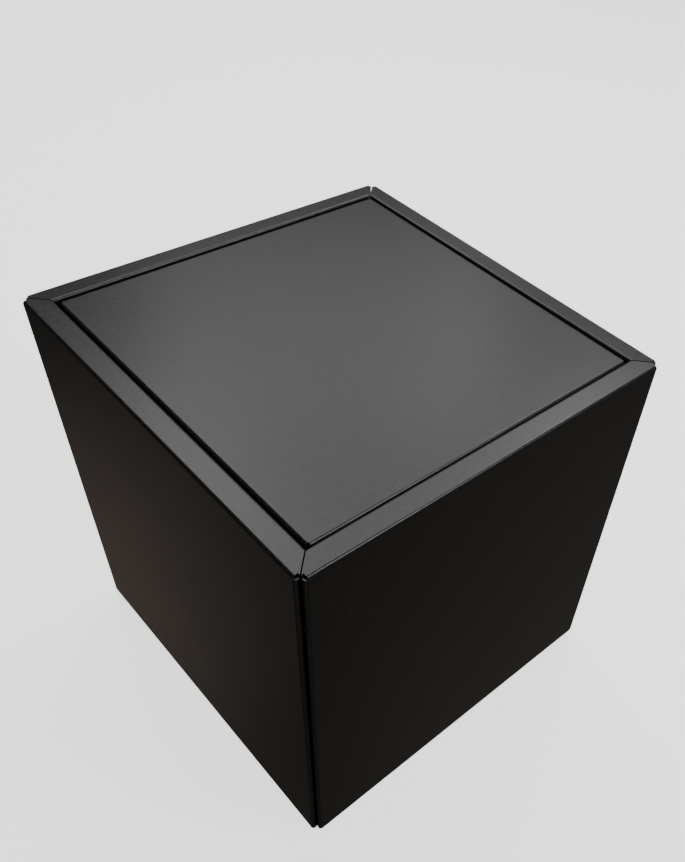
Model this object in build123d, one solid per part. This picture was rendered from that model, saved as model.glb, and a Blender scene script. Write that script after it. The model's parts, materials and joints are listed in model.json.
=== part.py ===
from build123d import *
import math
import os

# Sheet-metal cube box with a lift-off lid, in millimetres.
# Origin: middle of the box, at floor level under the feet. +Z is up and -Y is the front.

# Overall sizes of the folded shell, without the feet
box_width = 400.0
box_depth = 410.0
panel_height = 410.0

# Sheet and bends
sheet = 1.5
bend_inside = 1.2
bend_outside = bend_inside + sheet

# Rim that each side panel folds round the lid
rim_width = 21.5
rim_rise = 0.6
recess_depth = 20.0
ledge_width = 13.0
bottom_flange = 25.0

# Corners, where two panels meet on the diagonal
mitre_gap = 1.0
corner_gap = 1.6
corner_notch_depth = 5.0
bend_end_clearance = 0.5
corner_tab_width = 18.0
tab_clearance = 1.0
tab_plate_clearance = 0.2
bend_start_lap = 6.0

# Lid and its stiffeners
lid_gap = 2.3
lid_offset_y = -1.4
lid_drop = 0.5
lid_rest_clearance = 0.3
stiffener_spacing = 180.0
stiffener_height = 12.0
stiffener_top_width = 30.0
stiffener_flange = 12.0
stiffener_end_gap = 8.0

# Pads that the lid rests on
pad_length = 40.0
pad_width = 7.0
pad_thickness = 1.5
pad_bend_clearance = 0.3
pad_end_distance = 50.0

# Base plate
plate_clearance = 1.0
plate_corner = 4.0

# Feet
foot_drop = 5.0
foot_radius = 13.0
foot_draft = 1.5
foot_edge = 0.8
foot_flange_clearance = 2.0
foot_web = 3.0
foot_recess_radius = 6.0

# Fasteners
screw_radius = 2.5
hole_clearance = 0.25
head_radius = 4.75
head_height = 2.6
socket_flats = 3.0
socket_depth = 1.6
nut_flats = 8.0
nut_height = 4.0
thread_end = 1.5
spacer_radius = 5.0
corner_bolt_count = 3
corner_bolt_end_distance = 55.0
rivet_radius = 2.0
rivet_head_radius = 4.0
rivet_head_height = 1.2
rivet_tail_radius = 3.0
rivet_tail_height = 2.4
rivet_spacing = 200.0
rivet_hole_clearance = 0.1

# Values that follow from the sizes above
half_sheet = sheet / 2
mean_bend = bend_inside + half_sheet
corner_bend_tangent = mean_bend * math.tan(math.radians(67.5))
corner_bend_start = bend_outside * (1 + math.sqrt(2)) + corner_gap / math.sqrt(2)
bend_end_drop = bend_outside + bend_end_clearance
tab_low = max(bend_end_drop, 2 * sheet + tab_plate_clearance)
opening_width = box_width - 2 * rim_width
opening_depth = box_depth - 2 * rim_width
lid_width = opening_width - 2 * lid_gap
lid_depth = opening_depth - 2 * lid_gap
lid_skirt = recess_depth - lid_drop - pad_thickness - lid_rest_clearance
foot_inset = bottom_flange + foot_radius + foot_flange_clearance
base_top = foot_drop + 2 * sheet
top = foot_drop + panel_height
lid_top = top - lid_drop

CORNERS = {
    "front_left": (-1, -1),
    "front_right": (1, -1),
    "rear_left": (-1, 1),
    "rear_right": (1, 1),
}


def bent_strip(points, plane, length):
    """Sheet bent along a centre line of straight runs, drawn in a plane and extruded to both sides."""
    line = FilletPolyline(*points, radius=mean_bend)
    return extrude(plane * trace(line, sheet), length / 2, both=True)


def panel_section():
    """Centre line across a side panel, from the ledge over the rim and down to the bottom flange.

    The rim is bent a little short of square, so that its inner edge is the highest line of the panel.
    """
    ledge_z = panel_height - recess_depth - half_sheet
    return [
        (rim_width + ledge_width, ledge_z),
        (rim_width - half_sheet, ledge_z),
        (rim_width - half_sheet, panel_height - half_sheet),
        (half_sheet, panel_height - rim_rise - half_sheet),
        (half_sheet, half_sheet),
        (bottom_flange, half_sheet),
    ]


def mitre_block(length):
    """Space that a panel may fill between the two mitre lines at its ends."""
    half = length / 2 - mitre_gap / math.sqrt(2)
    reach = rim_width + ledge_width + bottom_flange
    outline = Polyline(
        (-half - sheet, -sheet),
        (half + sheet, -sheet),
        (half - reach, reach),
        (-half + reach, reach),
        close=True,
    )
    return Pos(0, 0, -sheet) * extrude(make_face(outline), panel_height + 2 * sheet)


def end_notches(length):
    """Cuts at both ends of a panel that make room for the upright bends and relieve the rim."""
    notch = Box(
        2 * corner_bend_start,
        2 * corner_notch_depth,
        3 * panel_height,
    )
    return [Pos(-length / 2, 0, 0) * notch, Pos(length / 2, 0, 0) * notch]


def corner_tab(length, tab_run, low, high):
    """Upright bend at the -X end of a panel, with a tab that runs in along the corner's diagonal."""
    corner_x = -length / 2 + half_sheet + (corner_gap + sheet) / math.sqrt(2)
    reach = tab_run / math.sqrt(2)
    line = FilletPolyline(
        (-length / 2 + corner_bend_start + bend_start_lap, half_sheet),
        (corner_x, half_sheet),
        (corner_x + reach, half_sheet + reach),
        radius=mean_bend,
    )
    return Pos(0, 0, low) * extrude(trace(line, sheet), high - low)


def bolt_diagonal():
    """Distance of the corner bolts from the box's sharp corner, along the diagonal."""
    bend_corner = (sheet + (corner_gap + sheet) / math.sqrt(2)) / math.sqrt(2)
    return bend_corner + corner_bend_tangent + corner_tab_width / 2


def bolt_heights():
    """Heights of the corner bolts above the bottom of the panels."""
    step = (panel_height - recess_depth - 2 * corner_bolt_end_distance) / (corner_bolt_count - 1)
    return [corner_bolt_end_distance + i * step for i in range(corner_bolt_count)]


def side_panel(length):
    """One side panel, standing with its outer face on the XZ plane and its folds towards +Y."""
    panel = bent_strip(panel_section(), Plane.YZ, length) & mitre_block(length)
    panel -= end_notches(length)

    below_ledge = panel_height - recess_depth - sheet - 2 * tab_clearance
    beside_lip = (rim_width - sheet - tab_clearance - half_sheet / math.sqrt(2) - half_sheet) * math.sqrt(2)
    wide_run = corner_bend_tangent + corner_tab_width
    tab = corner_tab(length, wide_run, tab_low, below_ledge)
    tab += corner_tab(length, beside_lip, tab_low, panel_height - bend_end_drop)
    inset = bolt_diagonal() / math.sqrt(2)
    for z in bolt_heights():
        place = Plane(origin=(-length / 2 + inset, inset, z), z_dir=(1, -1, 0))
        tab -= place * Cylinder(screw_radius + hole_clearance, 4 * spacer_radius)
    panel += [tab, mirror(tab, about=Plane.YZ)]

    for x in rivet_places():
        hole = Cylinder(rivet_radius + rivet_hole_clearance, 4 * sheet)
        panel -= Pos(x, rivet_inset(), half_sheet) * hole
    return panel


def rivet_places():
    """Places of the base rivets along each side."""
    return (-rivet_spacing / 2, rivet_spacing / 2)


def rivet_inset():
    """Distance of the base rivets from the outer face of the panel that they hold."""
    return (bend_outside + bottom_flange) / 2


def panel_places():
    """Length and place of each side panel."""
    return {
        "front_panel": (box_width, Pos(0, -box_depth / 2, foot_drop)),
        "rear_panel": (box_width, Pos(0, box_depth / 2, foot_drop) * Rot(0, 0, 180)),
        "left_panel": (box_depth, Pos(-box_width / 2, 0, foot_drop) * Rot(0, 0, -90)),
        "right_panel": (box_depth, Pos(box_width / 2, 0, foot_drop) * Rot(0, 0, 90)),
    }


def rivet_locations():
    """Place of each base rivet, on the lower face of the bottom flanges."""
    return [place * Pos(x, rivet_inset(), 0) for _, place in panel_places().values() for x in rivet_places()]


def foot_locations():
    """Place of each foot's axis at floor level, by corner name."""
    return {
        name: Pos(sx * (box_width / 2 - foot_inset), sy * (box_depth / 2 - foot_inset), 0)
        for name, (sx, sy) in CORNERS.items()
    }


def base_plate():
    """Flat plate that lies on the bottom flanges and carries the feet."""
    inset = bend_outside + plate_clearance
    plate = Box(box_width - 2 * inset, box_depth - 2 * inset, sheet)
    plate = chamfer(plate.edges().filter_by(Axis.Z), plate_corner)
    plate = Pos(0, 0, base_top - half_sheet) * plate
    for place in rivet_locations():
        plate -= place * Cylinder(rivet_radius + rivet_hole_clearance, 8 * sheet)
    for place in foot_locations().values():
        plate -= place * Pos(0, 0, base_top) * Cylinder(screw_radius + hole_clearance, 4 * sheet)
    return plate


def foot():
    """Rubber foot, from the floor up to the base plate, with a recess for its screw's head."""
    height = base_top - sheet
    body = Cone(foot_radius - foot_draft, foot_radius, height, align=(Align.CENTER, Align.CENTER, Align.MIN))
    body = fillet(body.edges().sort_by(Axis.Z)[0], foot_edge)
    recess = Cylinder(
        foot_recess_radius, height - foot_web, align=(Align.CENTER, Align.CENTER, Align.MIN)
    )
    return body - recess - Cylinder(screw_radius + hole_clearance, 4 * height)


def button_screw(shank):
    """Button-head socket screw: head below z = 0, shank up along +Z."""
    dome = Pos(0, 0, -head_height) * Cylinder(
        head_radius, head_height, align=(Align.CENTER, Align.CENTER, Align.MIN)
    )
    dome = fillet(dome.edges().sort_by(Axis.Z)[0], head_height * 0.7)
    socket = extrude(RegularPolygon(socket_flats / 2, 6, major_radius=False), socket_depth)
    dome -= Pos(0, 0, -head_height) * socket
    stem = Cylinder(screw_radius, shank, align=(Align.CENTER, Align.CENTER, Align.MIN))
    stem = chamfer(stem.edges().sort_by(Axis.Z)[-1], 0.4)
    return dome + stem


def hex_nut():
    """Hexagon nut standing on z = 0."""
    blank = extrude(RegularPolygon(nut_flats / 2, 6, major_radius=False), nut_height)
    rounding = Cylinder(nut_flats / math.sqrt(3), nut_height, align=(Align.CENTER, Align.CENTER, Align.MIN))
    rounding = chamfer(rounding.edges().filter_by(GeomType.CIRCLE), 0.5)
    return (blank & rounding) - Cylinder(screw_radius, 4 * nut_height)


def spacer_washer():
    """Washer that keeps the two tabs of a corner apart."""
    ring = Cylinder(spacer_radius, corner_gap)
    return ring - Cylinder(screw_radius + hole_clearance, 4 * corner_gap)


def blind_rivet():
    """Set blind rivet: domed head below z = 0, tail above the flange and the plate."""
    grip = 2 * sheet
    head = Pos(0, 0, -rivet_head_height) * Cylinder(
        rivet_head_radius, rivet_head_height, align=(Align.CENTER, Align.CENTER, Align.MIN)
    )
    head = fillet(head.edges().sort_by(Axis.Z)[0], rivet_head_height * 0.8)
    body = Cylinder(rivet_radius, grip, align=(Align.CENTER, Align.CENTER, Align.MIN))
    tail = Pos(0, 0, grip) * Cylinder(
        rivet_tail_radius, rivet_tail_height, align=(Align.CENTER, Align.CENTER, Align.MIN)
    )
    tail = fillet(tail.edges(), rivet_tail_height * 0.3)
    return head + body + tail


def corner_planes(sx, sy):
    """Planes across the bolt axes of one corner, each at the middle of the gap between the tabs."""
    inset = bolt_diagonal() / math.sqrt(2)
    x = sx * (box_width / 2 - inset)
    y = sy * (box_depth / 2 - inset)
    return [Plane(origin=(x, y, foot_drop + z), x_dir=(0, 0, 1), z_dir=(sx, -sy, 0)) for z in bolt_heights()]


def lid_pan():
    """Lid: one sheet with all four edges folded down, open at the corners."""
    low = lid_top - lid_skirt
    high = lid_top - half_sheet
    half_x = lid_width / 2 - half_sheet
    half_y = lid_depth / 2 - half_sheet
    across = [(-half_x, low), (-half_x, high), (half_x, high), (half_x, low)]
    along = [(-half_y, low), (-half_y, high), (half_y, high), (half_y, low)]
    pan = bent_strip(across, Plane.XZ, lid_depth - 2 * bend_outside)
    pan += bent_strip(along, Plane.YZ, lid_width - 2 * bend_outside)
    return Pos(0, lid_offset_y, 0) * pan


def lid_stiffener(side):
    """Hat channel welded under the lid, running from front to back."""
    high = lid_top - sheet - half_sheet
    low = high - stiffener_height + sheet
    inner = stiffener_top_width / 2 - half_sheet
    outer = inner + half_sheet + stiffener_flange
    section = [(-outer, high), (-inner, high), (-inner, low), (inner, low), (inner, high), (outer, high)]
    length = lid_depth - 2 * (sheet + bend_outside + stiffener_end_gap)
    return Pos(side * stiffener_spacing / 2, lid_offset_y, 0) * bent_strip(section, Plane.XZ, length)


def lid_pad(sx, sy):
    """Pad on the flat of the left or right ledge, near a corner."""
    near = rim_width + bend_inside + pad_bend_clearance
    x = sx * (box_width / 2 - near - pad_width / 2)
    y = sy * (opening_depth / 2 - pad_end_distance)
    z = top - recess_depth + pad_thickness / 2
    return Pos(x, y, z) * Box(pad_width, pad_length, pad_thickness)


def build():
    """Every node of the box, by name."""
    nodes = {}
    for name, (length, place) in panel_places().items():
        nodes[name] = place * side_panel(length)

    nodes["base_plate"] = base_plate()
    nodes["base_rivets"] = Compound([place * blind_rivet() for place in rivet_locations()])

    for name, place in foot_locations().items():
        nodes["foot_" + name] = place * foot()
    foot_stack = foot_web + sheet
    screw = button_screw(foot_stack + nut_height + thread_end)
    seats = [place * Pos(0, 0, base_top - foot_stack) for place in foot_locations().values()]
    nodes["foot_screws"] = Compound([seat * screw for seat in seats])
    nodes["foot_nuts"] = Compound([seat * Pos(0, 0, foot_stack) * hex_nut() for seat in seats])

    tab_face = corner_gap / 2 + sheet
    bolt = Pos(0, 0, -tab_face) * button_screw(2 * tab_face + nut_height + thread_end)
    nut = Pos(0, 0, tab_face) * hex_nut()
    for name, (sx, sy) in CORNERS.items():
        planes = corner_planes(sx, sy)
        nodes["corner_bolts_" + name] = Compound([plane * bolt for plane in planes])
        nodes["corner_nuts_" + name] = Compound([plane * nut for plane in planes])
        nodes["corner_spacers_" + name] = Compound([plane * spacer_washer() for plane in planes])
        nodes["lid_pad_" + name] = lid_pad(sx, sy)

    nodes["lid"] = lid_pan()
    nodes["lid_stiffener_left"] = lid_stiffener(-1)
    nodes["lid_stiffener_right"] = lid_stiffener(1)
    return nodes


os.makedirs("parts", exist_ok=True)
for node, shape in build().items():
    export_step(shape, f"parts/{node}.step")
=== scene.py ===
import json
import math

import bmesh
import bpy
from mathutils import Matrix, Vector


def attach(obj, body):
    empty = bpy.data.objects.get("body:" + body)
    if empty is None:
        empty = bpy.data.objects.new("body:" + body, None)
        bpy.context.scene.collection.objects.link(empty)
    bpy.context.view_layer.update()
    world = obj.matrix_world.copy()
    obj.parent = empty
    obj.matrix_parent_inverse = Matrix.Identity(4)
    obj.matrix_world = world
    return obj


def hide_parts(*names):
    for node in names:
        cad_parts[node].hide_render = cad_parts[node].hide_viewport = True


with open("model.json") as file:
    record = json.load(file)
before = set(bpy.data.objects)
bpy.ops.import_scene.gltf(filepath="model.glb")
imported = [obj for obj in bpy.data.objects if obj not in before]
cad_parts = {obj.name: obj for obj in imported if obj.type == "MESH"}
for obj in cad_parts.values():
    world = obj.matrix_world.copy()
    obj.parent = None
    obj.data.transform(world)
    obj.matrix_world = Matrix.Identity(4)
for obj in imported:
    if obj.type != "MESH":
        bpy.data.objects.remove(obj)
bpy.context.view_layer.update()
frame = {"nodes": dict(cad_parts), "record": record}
NODES = frame["nodes"]

# Shell of folded sheet, and what is fastened to it
SHEET_NODES = {
    "front_panel": "box",
    "rear_panel": "box",
    "left_panel": "box",
    "right_panel": "box",
    "base_plate": "box",
    "lid": "lid_body",
    "lid_stiffener_left": "lid_body",
    "lid_stiffener_right": "lid_body",
}
SHEET = 0.0015
CUT_EDGE = 0.0004
SHARP = math.radians(50)

# Material slots of a coated sheet: its faces, and its cut edges
FACE_COAT = 0
EDGE_COAT = 1

# Painted highlight: cut edges far out at the corners and high up are drawn near white, standing in for a
# glint; where it starts and ends, in metres
CORNER_HIGHLIGHT = (0.385, 0.393)
TOP_HIGHLIGHT = (0.404, 0.408)

# Camera: place, aim and lens of the reference view
CAMERA_PLACE = Vector((-0.39033, -0.49769, 0.85555))
CAMERA_AZIMUTH = math.radians(40.986)
CAMERA_ELEVATION = math.radians(46.965)
CAMERA_ROLL = math.radians(7.814)
CAMERA_LENS = 35.035
CAMERA_SHIFT = (-0.13060, 0.10280)
SENSOR_WIDTH = 36.0

# Studio that the camera sees
FLOOR_HALF = 20.0
WALL_RADIUS = 16.0
WALL_HEIGHT = 24.0
PAINT_GLOW = 1.6

# Room that the box mirrors: overhead, at eye level and down at the floor
ROOM_ABOVE = (0.09, 0.09, 0.09)
ROOM_LEVEL = (0.17, 0.165, 0.16)
ROOM_BELOW = (0.038, 0.035, 0.032)

# Wide soft patches in the dim room: azimuth, elevation, radius in degrees and colour
ROOM_PATCHES = (
    (122, -61, 14, (0.068, 0.060, 0.052)),
    (92, -49, 18, (0.29, 0.235, 0.20)),
    (-26, -52, 30, (0.11, 0.099, 0.088)),
    (45, -26, 42, (0.48, 0.46, 0.44)),
    (225, -22, 42, (0.26, 0.25, 0.24)),
    (131, 8, 38, (0.02, 0.02, 0.02)),
)

# Softboxes that face the lid: azimuth from +X towards +Y, elevation, width, height and brightness
LID_MIDDLE = Vector((0.0, 0.0, 0.415))
LIGHT_DISTANCE = 3.0
SOFTBOXES = (
    ("back_low", 54, 36, 1.5, 0.9, 1.7),
    ("back_middle", 54, 48, 1.4, 0.9, 1.1),
    ("back_left", 80, 48, 0.9, 0.9, 3.3),
    ("right_low", 32, 36, 0.9, 0.9, 1.1),
    ("right_high", 15, 48, 0.9, 0.9, 6.3),
    ("back_high", 47, 62, 2.5, 0.9, 2.7),
    ("overhead", 45, 85, 0.9, 0.9, 1.3),
    ("front_high", 225, 60, 0.9, 0.9, 3.5),
    ("front_low", 225, 35, 0.9, 0.9, 3.5),
    ("front_right", -60, 40, 0.9, 0.9, 11.0),
)


def new_material(name):
    """Empty node material with its Principled shader and its object-space coordinates."""
    material = bpy.data.materials.new(name)
    material.use_nodes = True
    tree = material.node_tree
    place = tree.nodes.new("ShaderNodeTexCoord").outputs["Object"]
    return material, tree, tree.nodes["Principled BSDF"], place


def add(tree, kind, **values):
    """New node, with socket values by name."""
    node = tree.nodes.new(kind)
    for key, value in values.items():
        node.inputs[key.replace("_", " ")].default_value = value
    return node


def noise(tree, place, scale, detail=2.0, roughness=0.5):
    """Noise in object space: scale is features per metre."""
    node = add(tree, "ShaderNodeTexNoise", Scale=scale, Detail=detail, Roughness=roughness)
    tree.links.new(place, node.inputs["Vector"])
    return node.outputs["Fac"]


def spread(tree, value, low, high, start=0.35, end=0.65):
    """Value mapped from start..end to low..high, and held there outside."""
    node = tree.nodes.new("ShaderNodeMapRange")
    for key, number in (("From Min", start), ("From Max", end), ("To Min", low), ("To Max", high)):
        node.inputs[key].default_value = number
    tree.links.new(value, node.inputs["Value"])
    return node.outputs["Result"]


def math_of(tree, operation, first, second):
    """Two values put together."""
    node = tree.nodes.new("ShaderNodeMath")
    node.operation = operation
    for value, socket in zip((first, second), node.inputs):
        if isinstance(value, float):
            socket.default_value = value
        else:
            tree.links.new(value, socket)
    return node.outputs["Value"]


def blend(tree, factor, low, high):
    """Colour between two colours; each is a triple or another colour's output."""
    node = tree.nodes.new("ShaderNodeMix")
    node.data_type = "RGBA"
    tree.links.new(factor, node.inputs["Factor"])
    for value, socket in ((low, node.inputs[6]), (high, node.inputs[7])):
        if isinstance(value, tuple):
            socket.default_value = (*value, 1.0)
        else:
            tree.links.new(value, socket)
    return node.outputs[2]


def bump(tree, height, distance, under=None):
    """Bump of a height in metres, on top of another bump's normal."""
    node = add(tree, "ShaderNodeBump", Strength=1.0, Distance=distance)
    tree.links.new(height, node.inputs["Height"])
    if under is not None:
        tree.links.new(under, node.inputs["Normal"])
    return node.outputs["Normal"]


def stretched(tree, place, scale, turn):
    """Coordinates squeezed along one direction on the flat, for marks that run in lines."""
    node = add(tree, "ShaderNodeMapping", Scale=scale, Rotation=(0.0, 0.0, math.radians(turn)))
    tree.links.new(place, node.inputs["Vector"])
    return node.outputs["Vector"]


def specks(tree, place, spacing, radius):
    """Sparse small spots of uneven outline: one where a scattered point lies close to the surface."""
    wobble = add(tree, "ShaderNodeTexNoise", Scale=900.0, Detail=1.0)
    tree.links.new(place, wobble.inputs["Vector"])
    shift = tree.nodes.new("ShaderNodeVectorMath")
    shift.operation = "MULTIPLY_ADD"
    tree.links.new(wobble.outputs["Color"], shift.inputs[0])
    shift.inputs[1].default_value = (0.001, 0.001, 0.001)
    tree.links.new(place, shift.inputs[2])
    points = add(tree, "ShaderNodeTexVoronoi", Scale=1.0 / spacing)
    tree.links.new(shift.outputs["Vector"], points.inputs["Vector"])
    return spread(tree, points.outputs["Distance"], 1.0, 0.0, 0.5 * radius / spacing, radius / spacing)


def powder_coat():
    """Satin black powder coat: orange peel, fine grain, uneven sheen, rub marks and a little dust."""
    material, tree, shader, place = new_material("powder_coat_black")
    cloud = noise(tree, place, 6.0, 3.0, 0.55)
    mottle = noise(tree, place, 200.0, 4.0, 0.7)
    peel = noise(tree, place, 420.0, 2.0)
    grain = noise(tree, place, 1100.0, 2.0, 0.6)
    hairs = noise(tree, stretched(tree, place, (5.0, 700.0, 5.0), 24.0), 1.0, 1.0)
    rubs_and_highlight = noise(tree, place, 11.0, 2.0)
    dust = specks(tree, place, 0.036, 0.0007)

    fine_lines = spread(tree, hairs, 0.0, 1.0, 0.70, 0.76)
    where_rubbed = spread(tree, rubs_and_highlight, 0.0, 1.0, 0.52, 0.66)
    lines = math_of(tree, "MULTIPLY", fine_lines, where_rubbed)
    tone = blend(tree, cloud, (0.0055, 0.0053, 0.0050), (0.0070, 0.0068, 0.0065))
    tone = blend(tree, spread(tree, mottle, 0.0, 0.8, 0.3, 0.7), tone, (0.0200, 0.0195, 0.0188))
    tone = blend(tree, math_of(tree, "MULTIPLY", lines, 0.25), tone, (0.03, 0.03, 0.03))
    tone = blend(tree, math_of(tree, "MULTIPLY", dust, 0.8), tone, (0.22, 0.21, 0.20))
    tree.links.new(tone, shader.inputs["Base Color"])

    uneven = spread(tree, mottle, -0.04, 0.04, 0.25, 0.75)
    sheen = math_of(tree, "ADD", spread(tree, cloud, 0.29, 0.32, 0.25, 0.75), uneven)
    sheen = math_of(tree, "ADD", sheen, math_of(tree, "MULTIPLY", dust, 0.4))
    tree.links.new(sheen, shader.inputs["Roughness"])

    relief = bump(tree, peel, 0.00007)
    relief = bump(tree, grain, 0.000014, under=relief)
    relief = bump(tree, lines, 0.00001, under=relief)
    tree.links.new(relief, shader.inputs["Normal"])
    return material


def powder_coat_edge():
    """Cut edges, where the coat draws thin: glossier, chipped here and there, with a painted highlight at
    the top corners.
    """
    material, tree, shader, place = new_material("powder_coat_edge")
    thin = noise(tree, place, 60.0, 2.0)
    chips = spread(tree, noise(tree, place, 190.0, 3.0, 0.6), 0.0, 1.0, 0.64, 0.70)
    split = tree.nodes.new("ShaderNodeSeparateXYZ")
    tree.links.new(place, split.inputs["Vector"])
    out_x = math_of(tree, "ABSOLUTE", split.outputs["X"], 0.0)
    out_y = math_of(tree, "ABSOLUTE", split.outputs["Y"], 0.0)
    # Painted highlight: a mask of the cut edges far out at the corners and high up, broken a little by
    # noise
    corner = spread(tree, math_of(tree, "ADD", out_x, out_y), 0.0, 1.0, *CORNER_HIGHLIGHT)
    high = spread(tree, split.outputs["Z"], 0.0, 1.0, *TOP_HIGHLIGHT)
    top_corner = math_of(tree, "MULTIPLY", corner, high)
    rubs_and_highlight = math_of(tree, "MULTIPLY", top_corner, spread(tree, thin, 0.65, 1.0))

    tone = blend(tree, spread(tree, thin, 0.0, 1.0), (0.010, 0.010, 0.010), (0.020, 0.020, 0.020))
    tone = blend(tree, chips, tone, (0.09, 0.09, 0.09))
    # The near-white colour under that mask is the painted highlight
    tree.links.new(blend(tree, rubs_and_highlight, tone, (0.75, 0.75, 0.73)), shader.inputs["Base Color"])
    tree.links.new(spread(tree, thin, 0.24, 0.34), shader.inputs["Roughness"])
    tree.links.new(bump(tree, noise(tree, place, 800.0), 0.00003), shader.inputs["Normal"])
    return material


def zinc():
    """Zinc-plated steel: cloudy passivation, fine turning marks, dulled here and there."""
    material, tree, shader, place = new_material("zinc_plated_steel")
    cloud = noise(tree, place, 140.0, 3.0, 0.6)
    grain = noise(tree, place, 2600.0, 2.0)
    tone = blend(tree, spread(tree, cloud, 0.0, 1.0), (0.50, 0.52, 0.56), (0.64, 0.63, 0.59))
    tree.links.new(tone, shader.inputs["Base Color"])
    shader.inputs["Metallic"].default_value = 1.0
    dull = math_of(tree, "ADD", spread(tree, cloud, 0.27, 0.42), spread(tree, grain, -0.04, 0.04))
    tree.links.new(dull, shader.inputs["Roughness"])
    tree.links.new(bump(tree, grain, 0.00002), shader.inputs["Normal"])
    return material


def moulded(name, dark, light, rough, cells, depth):
    """Moulded black rubber or plastic: uneven tone, dusty bloom, fine surface grain."""
    material, tree, shader, place = new_material(name)
    bloom = noise(tree, place, 90.0, 4.0, 0.65)
    grain = noise(tree, place, cells, 2.0, 0.6)
    tree.links.new(blend(tree, spread(tree, bloom, 0.0, 1.0), dark, light), shader.inputs["Base Color"])
    tree.links.new(spread(tree, bloom, rough - 0.08, rough + 0.08), shader.inputs["Roughness"])
    tree.links.new(bump(tree, grain, depth), shader.inputs["Normal"])
    return material


def sheet_piece(node, body, coat, edge):
    """Copy of a folded sheet with its cut edges slightly rounded, as a coat of powder leaves them."""
    mesh = bpy.data.meshes.new(node + "_coated")
    shape = bmesh.new()
    shape.from_mesh(NODES[node].data)
    bmesh.ops.remove_doubles(shape, verts=shape.verts, dist=1e-6)
    bmesh.ops.dissolve_limit(shape, angle_limit=math.radians(0.5), verts=shape.verts, edges=shape.edges)
    for face in shape.faces:
        around = sum(e.calc_length() for e in face.edges)
        narrow = 2 * face.calc_area() / around < 1.1 * SHEET
        if narrow and all(e.calc_face_angle(0.0) > SHARP for e in face.edges):
            face.material_index = EDGE_COAT
        else:
            face.material_index = FACE_COAT
    shape.to_mesh(mesh)
    shape.free()
    piece = bpy.data.objects.new(node + "_coated", mesh)
    bpy.context.scene.collection.objects.link(piece)
    mesh.materials.clear()
    mesh.materials.append(coat)
    mesh.materials.append(edge)
    mesh.shade_smooth()
    rounding = piece.modifiers.new("cut_edges", "BEVEL")
    rounding.width = CUT_EDGE
    rounding.segments = 3
    rounding.limit_method = "ANGLE"
    rounding.angle_limit = SHARP
    rounding.material = EDGE_COAT
    weight = piece.modifiers.new("flat_faces", "WEIGHTED_NORMAL")
    weight.keep_sharp = True
    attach(piece, body)
    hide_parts(node)


def finish_small_parts():
    """Materials of the pieces that keep their CAD shape: fasteners, spacers, feet and pads."""
    dark_nylon = (0.010, 0.010, 0.010), (0.018, 0.018, 0.018)
    dark_rubber = (0.014, 0.014, 0.014), (0.032, 0.031, 0.030)
    dark_foam = (0.018, 0.018, 0.019), (0.036, 0.036, 0.038)
    finishes = {
        "zinc_steel": zinc(),
        "black_nylon": moulded("black_nylon", *dark_nylon, 0.50, 900.0, 0.00003),
        "black_rubber": moulded("black_rubber", *dark_rubber, 0.70, 700.0, 0.00008),
        "pad_foam": moulded("pad_foam", *dark_foam, 0.88, 1400.0, 0.00020),
    }
    for entry in frame["record"]["subparts"]:
        finish = finishes.get(entry["material_slot"])
        if finish is not None:
            mesh = NODES[entry["node"]].data
            mesh.materials.clear()
            mesh.materials.append(finish)


def staged(name, shape, material):
    """Object of the studio, seen by the camera but not in the box's sheen."""
    mesh = bpy.data.meshes.new(name)
    shape.to_mesh(mesh)
    shape.free()
    mesh.materials.append(material)
    thing = bpy.data.objects.new(name, mesh)
    bpy.context.scene.collection.objects.link(thing)
    thing.visible_glossy = False
    thing.visible_diffuse = False
    return thing


def studio_paint():
    """Pale, evenly lit paint."""
    material, _, shader, _ = new_material("studio_paint")
    shader.inputs["Base Color"].default_value = (0.8, 0.8, 0.79, 1.0)
    shader.inputs["Roughness"].default_value = 0.9
    shader.inputs["Emission Color"].default_value = (1.0, 1.0, 0.985, 1.0)
    shader.inputs["Emission Strength"].default_value = PAINT_GLOW
    return material


def studio():
    """Plain pale floor, and a round wall far behind it."""
    paint = studio_paint()
    ground = bmesh.new()
    bmesh.ops.create_grid(ground, x_segments=1, y_segments=1, size=FLOOR_HALF)
    staged("floor", ground, paint)
    wall = bmesh.new()
    bmesh.ops.create_cone(
        wall, cap_ends=False, segments=96, radius1=WALL_RADIUS, radius2=WALL_RADIUS, depth=WALL_HEIGHT,
        matrix=Matrix.Translation((0.0, 0.0, WALL_HEIGHT / 2)),
    )
    bmesh.ops.reverse_faces(wall, faces=wall.faces)
    around = staged("wall", wall, paint)
    around.visible_shadow = False


def way_of(azimuth, elevation):
    """Unit vector towards an azimuth from +X and an elevation, in degrees."""
    level = math.cos(math.radians(elevation))
    return Vector((
        level * math.cos(math.radians(azimuth)),
        level * math.sin(math.radians(azimuth)),
        math.sin(math.radians(elevation)),
    ))


def softbox(name, azimuth, elevation, width, height, radiance):
    """Rectangular soft light of a given brightness, turned to the middle of the lid."""
    light = bpy.data.lights.new(name, "AREA")
    light.shape = "RECTANGLE"
    light.size = width
    light.size_y = height
    light.energy = math.pi * width * height * radiance
    lamp = bpy.data.objects.new(name, light)
    way = way_of(azimuth, elevation)
    lamp.location = LID_MIDDLE + LIGHT_DISTANCE * way
    lamp.rotation_euler = way.to_track_quat("Z", "Y").to_euler()
    lamp.visible_camera = False
    bpy.context.scene.collection.objects.link(lamp)


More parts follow.
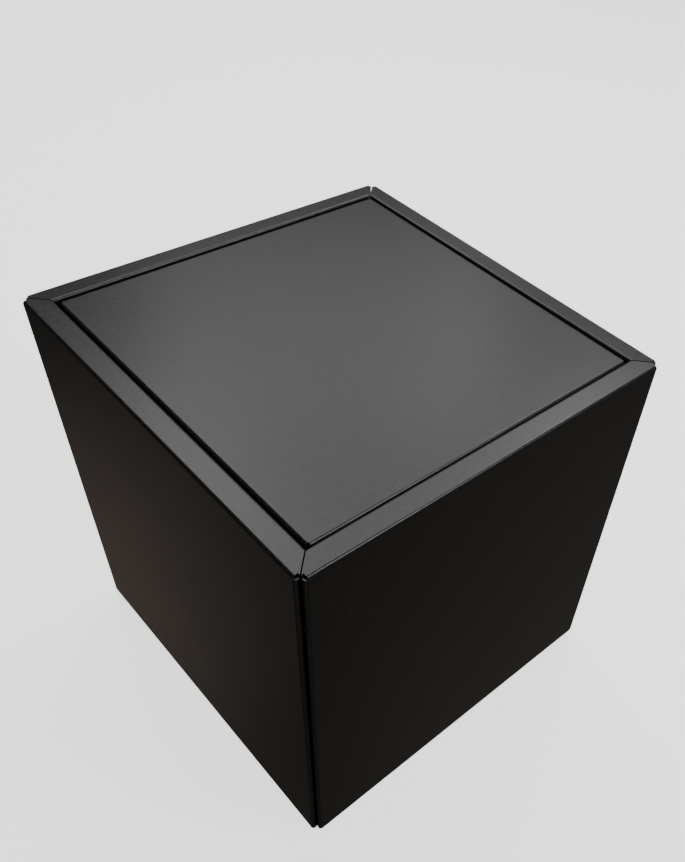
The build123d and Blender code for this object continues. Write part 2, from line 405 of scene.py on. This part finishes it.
def camera():
    """Camera at the reference view, with its roll and the frame's offset from the lens axis."""
    data = bpy.data.cameras.new("camera")
    data.lens = CAMERA_LENS
    data.sensor_width = SENSOR_WIDTH
    data.shift_x, data.shift_y = CAMERA_SHIFT
    data.clip_start = 0.01
    eye = bpy.data.objects.new("camera", data)
    level = math.cos(CAMERA_ELEVATION)
    ahead = Vector((
        level * math.cos(CAMERA_AZIMUTH),
        level * math.sin(CAMERA_AZIMUTH),
        -math.sin(CAMERA_ELEVATION),
    ))
    aim = ahead.to_track_quat("-Z", "Y").to_matrix().to_4x4()
    eye.matrix_world = Matrix.Translation(CAMERA_PLACE) @ aim @ Matrix.Rotation(CAMERA_ROLL, 4, "Z")
    bpy.context.scene.collection.objects.link(eye)
    bpy.context.scene.camera = eye


def studio_world():
    """Dim room, with a brighter band at eye level and soft patches of light and shade."""
    world = bpy.data.worlds.new("studio")
    bpy.context.scene.world = world
    world.use_nodes = True
    tree = world.node_tree
    back = tree.nodes["Background"]
    way = tree.nodes.new("ShaderNodeTexCoord").outputs["Generated"]
    split = tree.nodes.new("ShaderNodeSeparateXYZ")
    tree.links.new(way, split.inputs["Vector"])
    light = blend(tree, spread(tree, split.outputs["Z"], 0.0, 1.0, -0.36, -0.16), ROOM_BELOW, ROOM_LEVEL)
    light = blend(tree, spread(tree, split.outputs["Z"], 0.0, 1.0, -0.02, 0.16), light, ROOM_ABOVE)
    for azimuth, elevation, radius, color in ROOM_PATCHES:
        along = tree.nodes.new("ShaderNodeVectorMath")
        along.operation = "DOT_PRODUCT"
        tree.links.new(way, along.inputs[0])
        along.inputs[1].default_value = way_of(azimuth, elevation)
        inside = spread(tree, along.outputs["Value"], 0.0, 1.0, math.cos(math.radians(radius)), 1.0)
        inside.node.interpolation_type = "SMOOTHSTEP"
        light = blend(tree, inside, light, color)
    tree.links.new(light, back.inputs["Color"])
    back.inputs["Strength"].default_value = 1.0


coat = powder_coat()
edge = powder_coat_edge()
for node, body in SHEET_NODES.items():
    sheet_piece(node, body, coat, edge)
finish_small_parts()

studio()
camera()
for name, azimuth, elevation, width, height, radiance in SOFTBOXES:
    softbox(name, azimuth, elevation, width, height, radiance)
studio_world()
